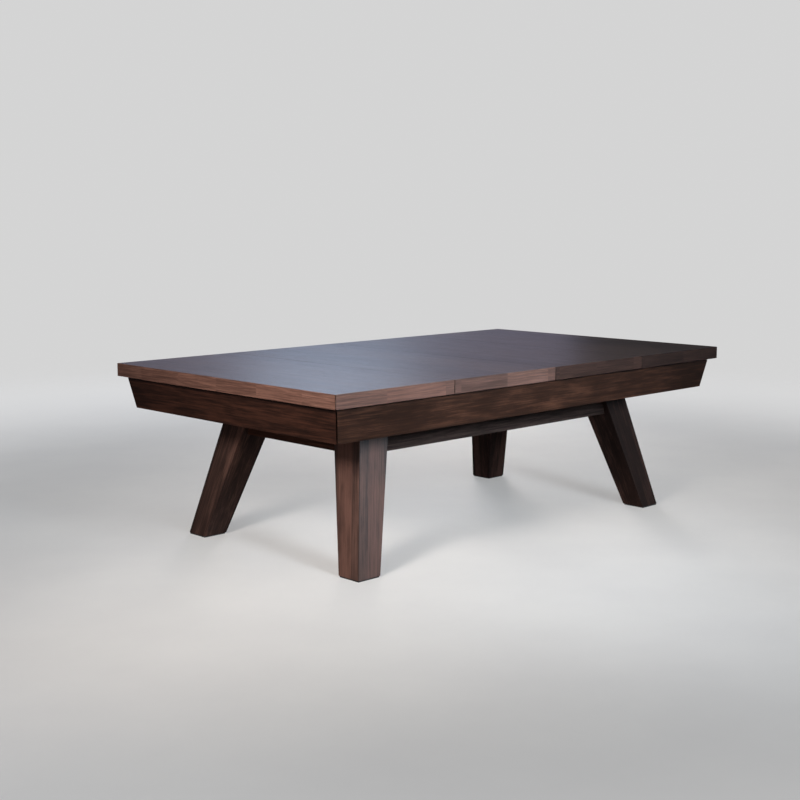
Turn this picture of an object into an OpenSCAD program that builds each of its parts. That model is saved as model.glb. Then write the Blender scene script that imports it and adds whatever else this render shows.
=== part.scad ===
// Slate bed billiard table with four lift-off dining cover panels.
// Millimetres, +Z up. Origin: on the floor, under the middle of the table.
// +X runs along the table's length, +Y across it.

/* [Playing surface] */
// length between cushion noses
play_l = 2235; // [1980:5:2540]
// width between cushion noses
play_w = 1118; // [990:1:1270]
// rail width, from cushion nose to outer face
rail_w = 169; // [140:1:190]
// cushion depth, from nose to rail wood
cushion_d = 50; // [40:1:60]
// height of the rail tops above the cloth
rail_h = 47; // [42:1:52]

/* [Cover] */
// height of the cover's top above the floor
height = 813; // [760:1:860]
// thickness of the cover boards
board_t = 18; // [12:1:25]
// height of the band round the cover's edge
skirt_h = 59; // [50:1:70]
// thickness of the edge strips
skirt_t = 18; // [12:1:22]
// gap between edge strips and rails
skirt_gap = 4; // [2:0.5:8]
// gap between neighbouring cover panels
seam_gap = 2; // [0.5:0.5:3]
// thickness of the felt pads under the cover
felt_t = 2; // [1:0.5:4]
// width of the felt pads
felt_w = 30; // [15:1:36]
// felt pads' edge, inside the rails' outer face
felt_in = 9; // [6:1:14]

/* [Slate bed] */
// slate thickness
slate_t = 25; // [19:1:32]
// how far the slate runs out past the cushion noses
slate_out = 118; // [110:1:124]
// bed cloth thickness
cloth_t = 1; // [0.5:0.5:2]
// thickness of the boards glued under the slate
backing_t = 20; // [15:1:25]
// width of those boards
backing_w = 100; // [80:5:120]
// waxed joint between two slates
slate_gap = 0.5; // [0.3:0.1:2]
// slate screws, from the joint and from the middle line
screw_joint = 40; // [30:1:60]
screw_mid = 300; // [150:10:400]

/* [Pockets] */
// outer radius of a pocket cup
cup_r = 57; // [50:1:60]
// wall of a pocket cup
cup_t = 4; // [3:0.5:6]
// height of the cup bottom above the cabinet's lower edge
cup_lift = 22; // [12:1:50]
// corner mouth width between cushion noses
corner_mouth = 124; // [114:1:130]
// side mouth width between cushion noses
side_mouth = 133; // [125:1:140]
// corner pocket centre, outside the corner of the playing surface
corner_out = 27; // [24:1:32]
// side pocket centre, outside the long cushion nose
side_out = 58; // [54:1:60]
// how far the leather lip lies out over the rail
lip_w = 6; // [4:0.5:7]
// thickness of that lip
lip_t = 3; // [2:0.5:4]

/* [Cabinet] */
// height of the cabinet panels
cab_h = 138; // [120:1:160]
// gap between the cover's band and the cabinet
shadow = 8; // [2:0.5:10]
// cabinet top edge, inside the cover's edge
cab_in_top = 32; // [28:1:40]
// cabinet bottom edge, inside the cover's edge
cab_in_bot = 58; // [50:1:66]
// cabinet panel thickness
cab_t = 18; // [15:1:22]
// open joint at the mitred cabinet corners
cab_mitre = 5; // [1:0.5:6]
// width of the beams inside the cabinet
beam_w = 45; // [38:1:60]
// glue line where inner timbers meet the cabinet panels
glue = 0.2; // [0.1:0.1:0.5]

/* [Base] */
// height of the base rails
base_h = 121; // [90:1:150]
// thickness of the base rails
base_t = 30; // [25:1:40]
// base rail faces, behind the legs' outer faces
base_in = 9; // [4:1:20]
// leg width at the top
leg_top = 165; // [140:1:180]
// leg width at the floor
leg_foot = 122; // [100:1:140]
// how far a leg leans out, along the table and across it
splay = 138; // [80:1:150]
// leg's outer face at the top, from the cover's end
leg_in_x = 400; // [340:5:480]
// leg's outer face at the top, from the cover's side
leg_in_y = 300; // [250:5:340]
// thickness of the levelling pads
foot_h = 6; // [4:0.5:12]
// levelling pad's edge, inside the leg's faces
foot_in = 3; // [1:1:20]

/* [Fasteners] */
// radius of a rail bolt
bolt_r = 5; // [4:0.5:6]
// clearance round any fastener
clear = 0.5; // [0.3:0.1:1]
// round facets
facets = 48; // [24:8:96]

/* [Hidden] */
$fn = facets;

len = play_l + 2*(rail_w + skirt_gap + skirt_t);
wid = play_w + 2*(rail_w + skirt_gap + skirt_t);
hx = len/2;
hy = wid/2;
px = play_l/2;
py = play_w/2;
rx = px + rail_w;
ry = py + rail_w;
panel_l = len/4;

board_z = height - board_t;
rail_z = board_z - felt_t;
skirt_z = height - skirt_h;
cloth_z = rail_z - rail_h;
slate_z = cloth_z - cloth_t;
slate_b = slate_z - slate_t;
backing_z = slate_b - backing_t;
cab_top = skirt_z - shadow;
cab_bot = cab_top - cab_h;
beam_h = (backing_z - cab_bot)/2;
beam_z = cab_bot + beam_h;
base_z = cab_bot - base_h;

slate_x = px + slate_out;
slate_y = py + slate_out;
slate_l = 2*slate_x/3;
joint_x = slate_l/2;
hole_r = cup_r + clear;
cup_z = cab_bot + cup_lift;
lip_r = cup_r + lip_w;

leg_x = hx - leg_in_x;
leg_y = hy - leg_in_y;
base_x = leg_x - base_in;
base_y = leg_y - base_in;
foot_x = leg_x + splay - leg_foot/2;
foot_y = leg_y + splay - leg_foot/2;
beam_in = 35;
beam_y = leg_y - beam_in;
end_beam_in = 72;
over = 1; // how far a cutting shape runs past what it cuts
tool = 300; // reach of the wedges that cut mitres
rail_tool_h = 60;

corner_cut = corner_mouth/sqrt(2);
corner_deg = 38;
side_deg = 76;
pocket_xy = [[-px - corner_out, -py - corner_out], [0, -py - side_out],
    [px + corner_out, -py - corner_out], [px + corner_out, py + corner_out],
    [0, py + side_out], [-px - corner_out, py + corner_out]];
mouth_deg = [45, 90, 135, 225, 270, 315];
beams_x = [-px + end_beam_in, -leg_x + leg_top/2, -joint_x,
    joint_x, leg_x - leg_top/2, px - end_beam_in];
bolt_u = 86;
backing_out = 59;
backing_x = px + backing_out;
backing_y = py + backing_out;
screw_x = [joint_x - screw_joint, joint_x + screw_joint, backing_x - backing_w/2];

module sides() { for (sx = [-1, 1], sy = [-1, 1]) scale_sign(sx, sy) children(); }
module scale_sign(sx, sy) {
    mirror([sx < 0 ? 1 : 0, 0, 0]) mirror([0, sy < 0 ? 1 : 0, 0]) children();
}

// a board's section in width and height, run along the table (X) or across it (Y)
module along_x(x0, x1, pts) {
    translate([x0, 0, 0]) rotate([90, 0, 90]) linear_extrude(height = x1 - x0) polygon(pts);
}
module along_y(y0, y1, pts) {
    translate([0, y1, 0]) rotate([90, 0, 0]) linear_extrude(height = y1 - y0) polygon(pts);
}
module bar(x0, x1, y0, y1, z0, z1) {
    translate([x0, y0, z0]) cube([x1 - x0, y1 - y0, z1 - z0]);
}

// cover ---------------------------------------------------------------
// the boards meet the edge strips in a mitre under the top arris
function board_pts(h) = [[-h + skirt_t, board_z], [h - skirt_t, board_z],
    [h - skirt_t + board_t, height], [-h + skirt_t - board_t, height]];
module board_all() {
    intersection() {
        along_x(-hx, hx, board_pts(hy));
        along_y(-hy, hy, board_pts(hx));
    }
}
function cut0(k) = -hx + (k - 1)*panel_l + (k > 1 ? seam_gap/2 : 0);
function cut1(k) = -hx + k*panel_l - (k < 4 ? seam_gap/2 : 0);
module cover_panel(k) {
    color([0.33, 0.22, 0.17]) intersection() {
        board_all();
        bar(cut0(k), cut1(k), -hy, hy, skirt_z, height);
    }
}
module strip_y() {
    along_x(-hx, hx, [[-hy, skirt_z], [-hy + skirt_t, skirt_z], [-hy + skirt_t, board_z],
        [-hy + skirt_t - board_t, height], [-hy, height]]);
}
module strip_x() {
    along_y(-hy, hy, [[-hx, skirt_z], [-hx + skirt_t, skirt_z], [-hx + skirt_t, board_z],
        [-hx + skirt_t - board_t, height], [-hx, height]]);
}
module mitre_y(h) {
    translate([0, 0, skirt_z - over]) linear_extrude(height = h)
        polygon([[-hx, -hy], [hx, -hy], [hx - tool, -hy + tool], [-hx + tool, -hy + tool]]);
}
module mitre_x(h) {
    translate([0, 0, skirt_z - over]) linear_extrude(height = h)
        polygon([[-hx, -hy], [-hx + tool, -hy + tool], [-hx + tool, hy - tool], [-hx, hy]]);
}
module cover_edge(k) {
    color([0.35, 0.21, 0.16]) {
        for (s = [0, 1]) mirror([0, s, 0]) intersection() {
            strip_y();
            mitre_y(skirt_h + 2*over);
            bar(cut0(k), cut1(k), -hy, 0, skirt_z, height);
        }
        if (k == 1 || k == 4) mirror([k == 4 ? 1 : 0, 0, 0]) intersection() {
            strip_x();
            mitre_x(skirt_h + 2*over);
        }
    }
}
module cover_pads(k) {
    pad_y = ry - felt_w - felt_in;
    edge = 20;
    color([0.08, 0.08, 0.09]) {
        for (s = [-1, 1])
            bar(max(cut0(k), -rx) + edge, min(cut1(k), rx) - edge,
                s*pad_y - (s < 0 ? felt_w : 0), s*pad_y + (s > 0 ? felt_w : 0), rail_z, board_z);
        if (k == 1 || k == 4) mirror([k == 4 ? 1 : 0, 0, 0])
            bar(-rx + felt_in, -rx + felt_in + felt_w, -pad_y + edge, pad_y - edge, rail_z, board_z);
    }
}

// rails ---------------------------------------------------------------
// the rail wood, width measured from the nose; it steps up over the cabinet's top edge
rail_lap = 4;
function rail_pts(p) = [[-p - cushion_d, cloth_z], [-p - cushion_d, rail_z],
    [-p - rail_w, rail_z], [-p - rail_w, skirt_z], [-p - slate_out + rail_lap, skirt_z],
    [-p - slate_out + rail_lap, cloth_z]];
function sights_x(s) = [for (i = [1:3]) s*i*play_l/8];
sights_y = [for (i = [-1:1]) i*play_w/4];
sight_r = 5;
sight_t = 2;
sight_u = 90;
module pocket_holes(r, z0, z1) {
    for (p = pocket_xy) translate([p[0], p[1], z0]) cylinder(r = r, h = z1 - z0);
}
// rail bolts, as shares of the half length and half width of play
side_bolts = [0.18, 0.5, 0.82];
end_bolts = [-0.6, 0, 0.6];
module at_rail_bolts() {
    for (s = [0, 1]) mirror([0, s, 0]) {
        for (x = side_bolts, sx = [-1, 1]) translate([sx*x*px, -py - bolt_u, 0]) children();
    }
    for (s = [0, 1]) mirror([s, 0, 0]) for (y = end_bolts)
        translate([-px - bolt_u, y*py, 0]) children();
}
bolt_grip = 32;
bolt_top = cloth_z + bolt_grip;
module at_sights() {
    for (sy = [-1, 1], sx = [-1, 1]) for (x = sights_x(sx))
        translate([x, sy*(py + sight_u), 0]) children();
    for (sx = [-1, 1]) for (y = sights_y) translate([sx*(px + sight_u), y, 0]) children();
}
module rail_cuts() {
    pocket_holes(hole_r, cloth_z - over, rail_z + over);
    pocket_holes(lip_r + clear, rail_z - lip_t, rail_z + over);
    at_rail_bolts() translate([0, 0, cloth_z - over])
        cylinder(r = bolt_r + clear, h = bolt_grip + over + clear);
    at_sights() translate([0, 0, rail_z - sight_t]) cylinder(r = sight_r, h = sight_t + over);
}
// a long rail runs from the middle of the side pocket to the corner mitre
module side_rail(sx, sy) {
    color([0.24, 0.15, 0.10]) difference() {
        scale_sign(-sx, -sy) intersection() {
            along_x(-rx, 0, rail_pts(py));
            translate([0, 0, slate_z]) linear_extrude(height = rail_tool_h)
                polygon([[-rx, -ry], [-rx + rail_w, -ry + rail_w], [-rx + rail_w, -ry + tool],
                    [0, -ry + tool], [0, -ry]]);
        }
        rail_cuts();
    }
}
module end_rail(sx) {
    color([0.24, 0.15, 0.10]) difference() {
        scale_sign(-sx, 1) intersection() {
            along_y(-ry, ry, rail_pts(px));
            translate([0, 0, slate_z]) linear_extrude(height = rail_tool_h)
                polygon([[-rx, -ry], [-rx + rail_w, -ry + rail_w],
                    [-rx + rail_w, ry - rail_w], [-rx, ry]]);
        }
        rail_cuts();
    }
}
// cushion section: nose, sloped top and undercut; the back lies on the rail wood
nose_low = 34.5;
nose_high = 38.5;
cushion_lift = 6;
undercut = 0.6;
feather = 1; // the cloth's edge lies this far below the rail wood's top
function nose_pts(p) = [[-p, cloth_z + nose_low], [-p, cloth_z + nose_high],
    [-p - cushion_d, rail_z - feather], [-p - cushion_d, cloth_z + cushion_lift],
    [-p - cushion_d*undercut, cloth_z + cushion_lift]];
module side_cushion(sx, sy) {
    color([0.05, 0.25, 0.14]) difference() {
        scale_sign(-sx, -sy) intersection() {
            along_x(-rx, 0, nose_pts(py));
            translate([0, 0, slate_z]) linear_extrude(height = rail_tool_h) polygon([
                [-px + corner_cut, -py], [-side_mouth/2, -py],
                [-side_mouth/2 + cushion_d/tan(side_deg), -py - cushion_d],
                [-px + corner_cut - cushion_d/tan(corner_deg), -py - cushion_d]]);
        }
        pocket_holes(hole_r, slate_z, rail_z + over);
    }
}
module end_cushion(sx) {
    a = py - corner_cut;
    b = a + cushion_d/tan(corner_deg);
    color([0.05, 0.25, 0.14]) difference() {
        scale_sign(-sx, 1) intersection() {
            along_y(-ry, ry, nose_pts(px));
            translate([0, 0, slate_z]) linear_extrude(height = rail_tool_h)
                polygon([[-px, -a], [-px, a], [-px - cushion_d, b], [-px - cushion_d, -b]]);
        }
        pocket_holes(hole_r, slate_z, rail_z + over);
    }
}
module sights() {
    color([0.9, 0.88, 0.8]) at_sights() translate([0, 0, rail_z - sight_t])
        cylinder(r = sight_r, h = sight_t);
}
// bolts go up through the slate into the rail wood, with a washer and a hexagon head
module rail_bolts() {
    washer_r = 13;
    washer_t = 3;
    head_r = 9;
    head_t = 7;
    color([0.6, 0.6, 0.62]) at_rail_bolts() translate([0, 0, slate_b - washer_t]) {
        cylinder(r = bolt_r, h = bolt_top - slate_b + washer_t);
        cylinder(r = washer_r, h = washer_t);
        translate([0, 0, -head_t]) cylinder(r = head_r, h = head_t, $fn = 6);
    }
}

// pockets: a leather cup with a lip in the rails, open towards the table
module pocket(k) {
    p = pocket_xy[k - 1];
    bend = 8;
    in_bend = 6;
    mouth_x = -8;
    lip_top = rail_z - 0.5;
    wall_r = cup_r - cup_t;
    color([0.12, 0.07, 0.05]) translate([p[0], p[1], 0]) rotate([0, 0, mouth_deg[k - 1]]) difference() {
        rotate_extrude() polygon([[0, cup_z], [cup_r - bend, cup_z], [cup_r, cup_z + bend],
            [cup_r, rail_z - lip_t], [lip_r, rail_z - lip_t], [lip_r, lip_top],
            [wall_r, lip_top], [wall_r, cup_z + cup_t + in_bend],
            [wall_r - in_bend, cup_z + cup_t], [0, cup_z + cup_t]]);
        bar(mouth_x, lip_r + over, -lip_r - over, lip_r + over, slate_z - clear, rail_z + over);
    }
}

// bed -----------------------------------------------------------------
screw_r = 3;
screw_head_r = 7;
screw_head_t = 4;
screw_sunk = 0.5;
screw_bite = 2; // solid board left under the screw's point
module at_slate_screws() {
    for (x = screw_x, sx = [-1, 1], sy = [-1, 1]) translate([sx*x, sy*screw_mid, 0]) children();
}
module slate(i) {
    color([0.32, 0.34, 0.36]) difference() {
        bar(-slate_x + (i - 1)*slate_l + (i > 1 ? slate_gap/2 : 0),
            -slate_x + i*slate_l - (i < 3 ? slate_gap/2 : 0), -slate_y, slate_y, slate_b, slate_z);
        pocket_holes(hole_r, slate_b - over, slate_z + over);
        at_rail_bolts() translate([0, 0, slate_b - over])
            cylinder(r = bolt_r + clear, h = slate_t + 2*over);
        at_slate_screws() translate([0, 0, slate_b - over])
            cylinder(r = screw_r + clear, h = slate_t + 2*over);
        at_slate_screws() translate([0, 0, slate_z - screw_head_t - 2*screw_sunk])
            cylinder(r = screw_head_r + clear, h = screw_head_t + 2*screw_sunk + over);
    }
}
// screws hold the slates down to the backing boards, heads sunk under the cloth
module slate_screws() {
    color([0.7, 0.7, 0.72]) at_slate_screws() {
        translate([0, 0, slate_z - screw_head_t - screw_sunk])
            cylinder(r = screw_head_r, h = screw_head_t);
        translate([0, 0, backing_z + screw_bite])
            cylinder(r = screw_r, h = slate_z - screw_head_t - backing_z - screw_bite);
    }
}
module bed_cloth() {
    color([0.06, 0.3, 0.16]) difference() {
        bar(-slate_x, slate_x, -slate_y, slate_y, slate_z, cloth_z);
        pocket_holes(hole_r, slate_z - over, cloth_z + over);
        at_rail_bolts() translate([0, 0, slate_z - over])
            cylinder(r = bolt_r + clear, h = cloth_t + 2*over);
    }
}
module slate_backing() {
    bx = backing_x;
    by = backing_y;
    joint_w = 150;
    split = 1; // gap where one board ends at another
    color([0.72, 0.6, 0.42]) difference() {
        union() {
            for (s = [0, 1]) mirror([0, s, 0]) bar(-bx, bx, -by, -by + backing_w, backing_z, slate_b);
            for (s = [0, 1]) mirror([s, 0, 0]) {
                bar(-bx, -bx + backing_w, -by + backing_w + split, by - backing_w - split,
                    backing_z, slate_b);
                bar(-joint_x - joint_w/2, -joint_x + joint_w/2,
                    -by + backing_w + split, by - backing_w - split, backing_z, slate_b);
            }
        }
        pocket_holes(hole_r + 2*clear, backing_z - over, slate_b + over);
        at_slate_screws() translate([0, 0, backing_z + screw_bite - clear])
            cylinder(r = screw_r + clear, h = backing_t);
    }
}

// cabinet -------------------------------------------------------------
slope = (cab_in_bot - cab_in_top)/cab_h;
cab_tw = cab_t*sqrt(1 + slope*slope);
// inner face of the cabinet at a height, measured from the middle
function inner_at(h, z) = h - cab_in_top - (cab_top - z)*slope - cab_tw;
function cab_pts(h) = [[-h + cab_in_top, cab_top], [-h + cab_in_top + cab_tw, cab_top],
    [-h + cab_in_bot + cab_tw, cab_bot], [-h + cab_in_bot, cab_bot]];
module cabinet_long(s) {
    color([0.22, 0.13, 0.09]) scale_sign(1, s) intersection() {
        along_x(-hx, hx, cab_pts(hy));
        cab_mitre_y();
    }
}
// the mitre leans with the panels: both end planes are cut from a long extrusion
module cab_mitre_y() {
    g = cab_mitre/sqrt(2);
    translate([0, 0, cab_bot - over]) linear_extrude(height = cab_h + 2*over)
        polygon([[-hx + g, -hy], [hx - g, -hy], [hx - g - tool, -hy + tool],
            [-hx + g + tool, -hy + tool]]);
}
module cab_mitre_x() {
    g = cab_mitre/sqrt(2);
    translate([0, 0, cab_bot - over]) linear_extrude(height = cab_h + 2*over)
        polygon([[-hx, -hy + g], [-hx + tool, -hy + g + tool],
            [-hx + tool, hy - g - tool], [-hx, hy - g]]);
}
module cabinet_end(s) {
    color([0.22, 0.13, 0.09]) scale_sign(s, 1) intersection() {
        along_y(-hy, hy, cab_pts(hx));
        cab_mitre_x();
    }
}
module corner_blocks() {
    w = 46;
    below = 6;
    z1 = backing_z - below;
    x = inner_at(hx, cab_bot) - glue;
    y = inner_at(hy, cab_bot) - glue;
    color([0.5, 0.36, 0.22]) sides() translate([0, 0, cab_bot]) linear_extrude(height = z1 - cab_bot)
        polygon([[x, y], [x - w, y], [x, y - w]]);
}
module cross_beams() {
    y0 = inner_at(hy, beam_z) - glue;
    y1 = inner_at(hy, backing_z) - glue;
    color([0.62, 0.47, 0.3]) for (x = beams_x)
        along_x(x - beam_w/2, x + beam_w/2,
            [[-y0, beam_z], [y0, beam_z], [y1, backing_z], [-y1, backing_z]]);
}
bolt_pair = 92; // between the two bolts in one leg
nut_washer_r = 12;
nut_washer_t = 2;
nut_r = 8.5;
module at_cabinet_bolts() {
    for (sx = [-1, 1], sy = [-1, 1], d = [-bolt_pair/2, bolt_pair/2])
        translate([sx*(leg_x - leg_top/2 + d), sy*beam_y, 0]) children();
}
module long_beams() {
    x0 = inner_at(hx, cab_bot) - glue;
    x1 = inner_at(hx, beam_z) - glue;
    color([0.62, 0.47, 0.3]) difference() {
        for (s = [-1, 1]) along_y(s*beam_y - beam_w/2, s*beam_y + beam_w/2,
            [[-x0, cab_bot], [x0, cab_bot], [x1, beam_z], [-x1, beam_z]]);
        at_cabinet_bolts() translate([0, 0, cab_bot - over])
            cylinder(r = bolt_r + clear, h = beam_h + 2*over);
    }
}
bolt_down = 60;
// bolts hold the cabinet's long beams down to the leg tops
module cabinet_bolts() {
    head_t = 6;
    color([0.6, 0.6, 0.62]) at_cabinet_bolts() {
        translate([0, 0, cab_bot - bolt_down])
            cylinder(r = bolt_r, h = beam_h + bolt_down + nut_washer_t);
        translate([0, 0, beam_z]) cylinder(r = nut_washer_r, h = nut_washer_t);
        translate([0, 0, beam_z + nut_washer_t]) cylinder(r = nut_r, h = head_t, $fn = 6);
    }
}

// base ----------------------------------------------------------------
leg_h = cab_bot - foot_h;
leg_out = splay*leg_h/cab_bot; // how far out the leg's outer face is by its foot
// a leg's section through its lean, in width and height, at outer line a,
// its faces run on past the top by up
function leg_pts(a, up) = [[a - leg_top - (leg_out - leg_foot + leg_top)*up/leg_h, cab_bot + up],
    [a - leg_out*up/leg_h, cab_bot + up],
    [a + leg_out, foot_h],
    [a + leg_out - leg_foot, foot_h]];
module leg_solid(up = 0) {
    intersection() {
        along_y(leg_y - 2*leg_top, leg_y + 2*splay, leg_pts(leg_x, up));
        along_x(leg_x - 2*leg_top, leg_x + 2*splay, leg_pts(leg_y, up));
    }
}
brace_in = 8; // corner braces' edges, inside the base rails' edges
brace_z0 = base_z + brace_in;
brace_z1 = cab_bot - brace_in;
leg_bolt_z = [0.3, 0.75]; // as shares of the brace's height
// hanger bolts run from the corner brace into the leg's inner corner
module at_leg_bolts() {
    for (z = leg_bolt_z)
        translate([leg_x - leg_top, leg_y - leg_top, brace_z0 + z*(brace_z1 - brace_z0)])
            rotate([0, 90, 45]) children();
}
brace_d = 20;
brace_t = 40;
hang_in = 90;
hang_out = 14;
stem_r = 6;
stem_h = 42;
stem_room = 6;
module leg(sx, sy) {
    color([0.32, 0.2, 0.15]) difference() {
        scale_sign(-sx, -sy) mirror([1, 0, 0]) mirror([0, 1, 0]) difference() {
            leg_solid();
            at_leg_bolts() translate([0, 0, -tool])
                cylinder(r = bolt_r + clear, h = tool + hang_in + clear);
            translate([foot_x, foot_y, 0]) cylinder(r = stem_r + clear, h = foot_h + stem_h + stem_room);
        }
        at_cabinet_bolts() translate([0, 0, cab_bot - bolt_down - clear])
            cylinder(r = bolt_r + clear, h = bolt_down + 2*over);
    }
}
module leg_clear() { sides() leg_solid(over); }
module base_long(s) {
    color([0.17, 0.11, 0.08]) scale_sign(1, s) difference() {
        bar(-leg_x, leg_x, -base_y, -base_y + base_t, base_z, cab_bot);
        leg_clear();
        for (sx = [-1, 1]) bar(sx*(leg_x + leg_top/2) - leg_top, sx*(leg_x + leg_top/2) + leg_top,
            -hy, 0, base_z - over, cab_bot + over);
    }
}
module base_short(s) {
    color([0.17, 0.11, 0.08]) scale_sign(s, 1) difference() {
        bar(-base_x, -base_x + base_t, -leg_y + leg_top*0.5, leg_y - leg_top*0.5, base_z, cab_bot);
        leg_clear();
    }
}
module corner_braces() {
    xi = base_x - base_t;
    yi = base_y - base_t;
    c = leg_x + leg_y - 2*leg_top - brace_d*sqrt(2);
    d = c - brace_t*sqrt(2);
    color([0.5, 0.36, 0.22]) sides() difference() {
        translate([0, 0, brace_z0]) linear_extrude(height = brace_z1 - brace_z0)
            polygon([[c - yi, yi], [d - yi, yi], [xi, d - xi], [xi, c - xi]]);
        at_leg_bolts() translate([0, 0, -tool]) cylinder(r = bolt_r + clear, h = 2*tool);
    }
}
module leg_bolts() {
    back = brace_d + brace_t;
    nut_t = 8;
    color([0.6, 0.6, 0.62]) sides() at_leg_bolts() {
        translate([0, 0, -back - hang_out]) cylinder(r = bolt_r, h = back + hang_out + hang_in);
        translate([0, 0, -back - nut_washer_t]) cylinder(r = nut_washer_r, h = nut_washer_t);
        translate([0, 0, -back - nut_washer_t - nut_t]) cylinder(r = nut_r, h = nut_t, $fn = 6);
    }
}
// levelling pad with its screw up into the leg
module foot(sx, sy) {
    pad_r = leg_foot/2 - foot_in;
    color([0.05, 0.05, 0.05]) translate([sx*foot_x, sy*foot_y, 0]) {
        bar(-pad_r, pad_r, -pad_r, pad_r, 0, foot_h);
        cylinder(r = stem_r, h = foot_h + stem_h);
    }
}

cover_panel(1);  // cover_panel_1
cover_panel(2);  // cover_panel_2
cover_panel(3);  // cover_panel_3
cover_panel(4);  // cover_panel_4
cover_edge(1);  // cover_edge_1
cover_edge(2);  // cover_edge_2
cover_edge(3);  // cover_edge_3
cover_edge(4);  // cover_edge_4
cover_pads(1);  // cover_pads_1
cover_pads(2);  // cover_pads_2
cover_pads(3);  // cover_pads_3
cover_pads(4);  // cover_pads_4
side_rail(-1, -1);  // rail_1
side_rail(1, -1);  // rail_2
end_rail(1);  // rail_3
side_rail(1, 1);  // rail_4
side_rail(-1, 1);  // rail_5
end_rail(-1);  // rail_6
side_cushion(-1, -1);  // cushion_1
side_cushion(1, -1);  // cushion_2
end_cushion(1);  // cushion_3
side_cushion(1, 1);  // cushion_4
side_cushion(-1, 1);  // cushion_5
end_cushion(-1);  // cushion_6
sights();
rail_bolts();
pocket(1);  // pocket_1
pocket(2);  // pocket_2
pocket(3);  // pocket_3
pocket(4);  // pocket_4
pocket(5);  // pocket_5
pocket(6);  // pocket_6
bed_cloth();
slate(1);  // slate_1
slate(2);  // slate_2
slate(3);  // slate_3
slate_screws();
slate_backing();
cabinet_long(1);  // cabinet_front
cabinet_long(-1);  // cabinet_back
cabinet_end(1);  // cabinet_left
cabinet_end(-1);  // cabinet_right
corner_blocks();
cross_beams();
long_beams();
cabinet_bolts();
base_long(1);  // base_front
base_long(-1);  // base_back
base_short(1);  // base_left
base_short(-1);  // base_right
corner_braces();
leg_bolts();
leg(-1, -1);  // leg_1
leg(1, -1);  // leg_2
leg(1, 1);  // leg_3
leg(-1, 1);  // leg_4
foot(-1, -1);  // foot_1
foot(1, -1);  // foot_2
foot(1, 1);  // foot_3
foot(-1, 1);  // foot_4
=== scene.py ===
"""Pool table with a lift-off dining cover: the finished look of every piece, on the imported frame.

Metres, +Z up, +X along the table.
"""
import math
import random

import bpy
import bmesh
from mathutils import Matrix, Vector, geometry


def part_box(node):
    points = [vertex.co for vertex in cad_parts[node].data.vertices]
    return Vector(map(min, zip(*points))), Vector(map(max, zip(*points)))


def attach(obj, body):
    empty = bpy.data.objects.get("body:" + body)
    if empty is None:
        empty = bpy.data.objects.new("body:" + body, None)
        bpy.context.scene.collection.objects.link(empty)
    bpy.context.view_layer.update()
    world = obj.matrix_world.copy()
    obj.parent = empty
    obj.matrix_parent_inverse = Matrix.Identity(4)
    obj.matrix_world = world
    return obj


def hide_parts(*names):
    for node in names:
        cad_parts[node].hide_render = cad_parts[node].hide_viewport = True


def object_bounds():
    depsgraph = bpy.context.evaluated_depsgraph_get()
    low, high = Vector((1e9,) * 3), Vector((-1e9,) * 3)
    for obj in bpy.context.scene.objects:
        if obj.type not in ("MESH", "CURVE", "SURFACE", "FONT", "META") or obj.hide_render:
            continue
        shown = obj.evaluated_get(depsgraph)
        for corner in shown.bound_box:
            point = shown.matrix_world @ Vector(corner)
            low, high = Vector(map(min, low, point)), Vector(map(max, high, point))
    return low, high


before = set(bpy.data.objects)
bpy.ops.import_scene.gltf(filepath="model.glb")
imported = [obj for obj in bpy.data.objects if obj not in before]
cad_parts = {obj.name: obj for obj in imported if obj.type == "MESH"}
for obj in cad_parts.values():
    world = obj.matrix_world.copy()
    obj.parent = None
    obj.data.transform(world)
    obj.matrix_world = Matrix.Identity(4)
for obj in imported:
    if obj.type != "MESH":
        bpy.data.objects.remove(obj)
cad_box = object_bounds()
random.seed(11)

MM = 0.001
TAU = 2 * math.pi


# --------------------------------------------------------------------------------------
# shader writing


class Val:
    """A shader value: arithmetic on it adds Math nodes."""

    def __init__(self, shop, socket):
        self.shop, self.socket = shop, socket

    def _do(self, operation, *args):
        values = dict(enumerate(args))
        return self.shop.add("ShaderNodeMath", {"operation": operation}, values)

    def __add__(self, other):
        return self._do("ADD", self, other)

    def __radd__(self, other):
        return self._do("ADD", other, self)

    def __sub__(self, other):
        return self._do("SUBTRACT", self, other)

    def __rsub__(self, other):
        return self._do("SUBTRACT", other, self)

    def __mul__(self, other):
        return self._do("MULTIPLY", self, other)

    def __rmul__(self, other):
        return self._do("MULTIPLY", other, self)

    def __truediv__(self, other):
        return self._do("DIVIDE", self, other)

    def __pow__(self, other):
        return self._do("POWER", self, other)

    def floor(self):
        return self._do("FLOOR", self)

    def fract(self):
        return self._do("FRACT", self)

    def sin(self):
        return self._do("SINE", self)

    def size(self):
        return self._do("ABSOLUTE", self)

    def most(self, other):
        return self._do("MAXIMUM", self, other)

    def ramp(self, low, high, out_low=0.0, out_high=1.0):
        """This value's run from low to high, eased, as out_low to out_high."""
        return self.shop.add(
            "ShaderNodeMapRange",
            {"interpolation_type": "SMOOTHSTEP"},
            {"Value": self, "From Min": low, "From Max": high, "To Min": out_low, "To Max": out_high},
        )


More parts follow.
